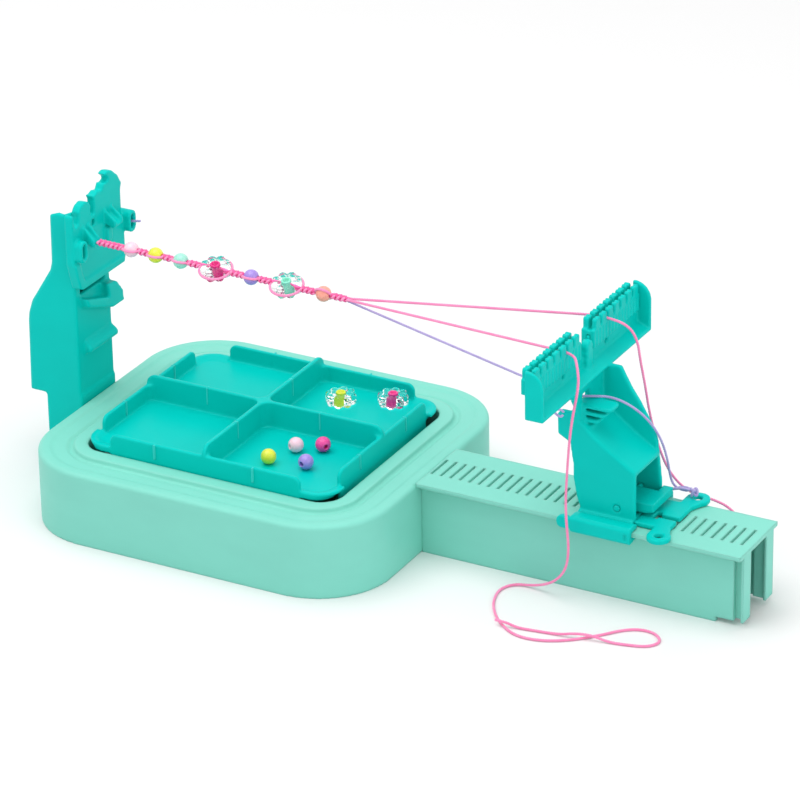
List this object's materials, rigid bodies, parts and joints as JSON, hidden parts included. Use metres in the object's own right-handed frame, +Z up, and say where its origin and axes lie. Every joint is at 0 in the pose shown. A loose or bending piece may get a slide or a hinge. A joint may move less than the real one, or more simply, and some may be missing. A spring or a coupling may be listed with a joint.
{
  "type": "bead and cord braiding loom",
  "caption": "Tabletop braiding loom: a bead housing with a lift-out tray, a slotted rail, a hooked post and a latched sliding tower with two cord combs that hold a beaded braid tight.",
  "frame": {"origin": "on the floor under the centre of the bead housing", "axes": "+X out along the rail, +Y to the back, +Z up"},
  "size_m": [0.3079, 0.1322, 0.1207],
  "materials": {
    "mint_plastic": "satin moulded plastic",
    "teal_plastic": "glossy moulded plastic",
    "steel": "plated steel",
    "pink_cord": "braided satin cord",
    "lilac_cord": "twisted satin cord",
    "pale_pink_bead": "glossy pearl plastic",
    "yellow_bead": "glossy plastic",
    "mint_bead": "glossy plastic",
    "purple_bead": "glossy plastic",
    "peach_bead": "glossy plastic",
    "hot_pink_bead": "glossy plastic",
    "clear_petals": "clear moulded plastic",
    "magenta_core": "glossy plastic",
    "mint_core": "glossy plastic",
    "yellow_core": "glossy plastic",
    "pink_core": "glossy plastic"
  },
  "bodies": {
    "base": {"base_housing": "mint_plastic", "bottom_cover": "mint_plastic", "bottom_screws": "steel", "rail_arm": "mint_plastic", "post_body": "teal_plastic", "hook_plate": "teal_plastic", "braid": "pink_cord", "braid_bead_pale_pink": "pale_pink_bead", "braid_bead_yellow": "yellow_bead", "braid_bead_mint": "mint_bead", "braid_bead_purple": "purple_bead", "braid_bead_peach": "peach_bead", "braid_flower_petals": "clear_petals", "flower_core_magenta": "magenta_core", "flower_core_mint": "mint_core", "pink_span_left": "pink_cord", "pink_span_right": "pink_cord", "lilac_span": "lilac_cord", "core_anchor": "lilac_cord"},
    "carriage": {"tower_body": "teal_plastic", "left_comb": "teal_plastic", "right_comb": "teal_plastic", "lock_plate": "teal_plastic", "near_clip": "teal_plastic", "far_clip": "teal_plastic", "lever_pin": "teal_plastic", "near_tail": "pink_cord", "far_tail": "pink_cord", "core_tail": "lilac_cord", "eyelet_knot": "lilac_cord"},
    "lever": {"release_lever": "teal_plastic"},
    "tray": {"bead_tray": "teal_plastic", "tray_bead_yellow": "yellow_bead", "tray_bead_pale_pink": "pale_pink_bead", "tray_bead_hot_pink": "hot_pink_bead", "tray_bead_lilac": "purple_bead", "tray_flower_petals": "clear_petals", "tray_flower_core_yellow": "yellow_core", "tray_flower_core_pink": "pink_core"}
  },
  "joints": [
    {"name": "carriage_slide", "type": "slide", "parent": "base", "child": "carriage", "axis": [1, 0, 0], "range_m": [-0.036, 0.036], "deforming": ["pink_span_left", "pink_span_right", "lilac_span"]},
    {"name": "lever_press", "type": "hinge", "parent": "carriage", "child": "lever", "pos_m": [0.156, 0, 0.0366], "axis": [0, 1, 0], "range_deg": [0, 6.5], "stiffness_Nm_per_rad": 0.02, "springref_deg": -11.46},
    {"name": "tray_lift", "type": "slide", "parent": "base", "child": "tray", "axis": [0, 0, 1], "range_m": [0, 0.035]}
  ]
}
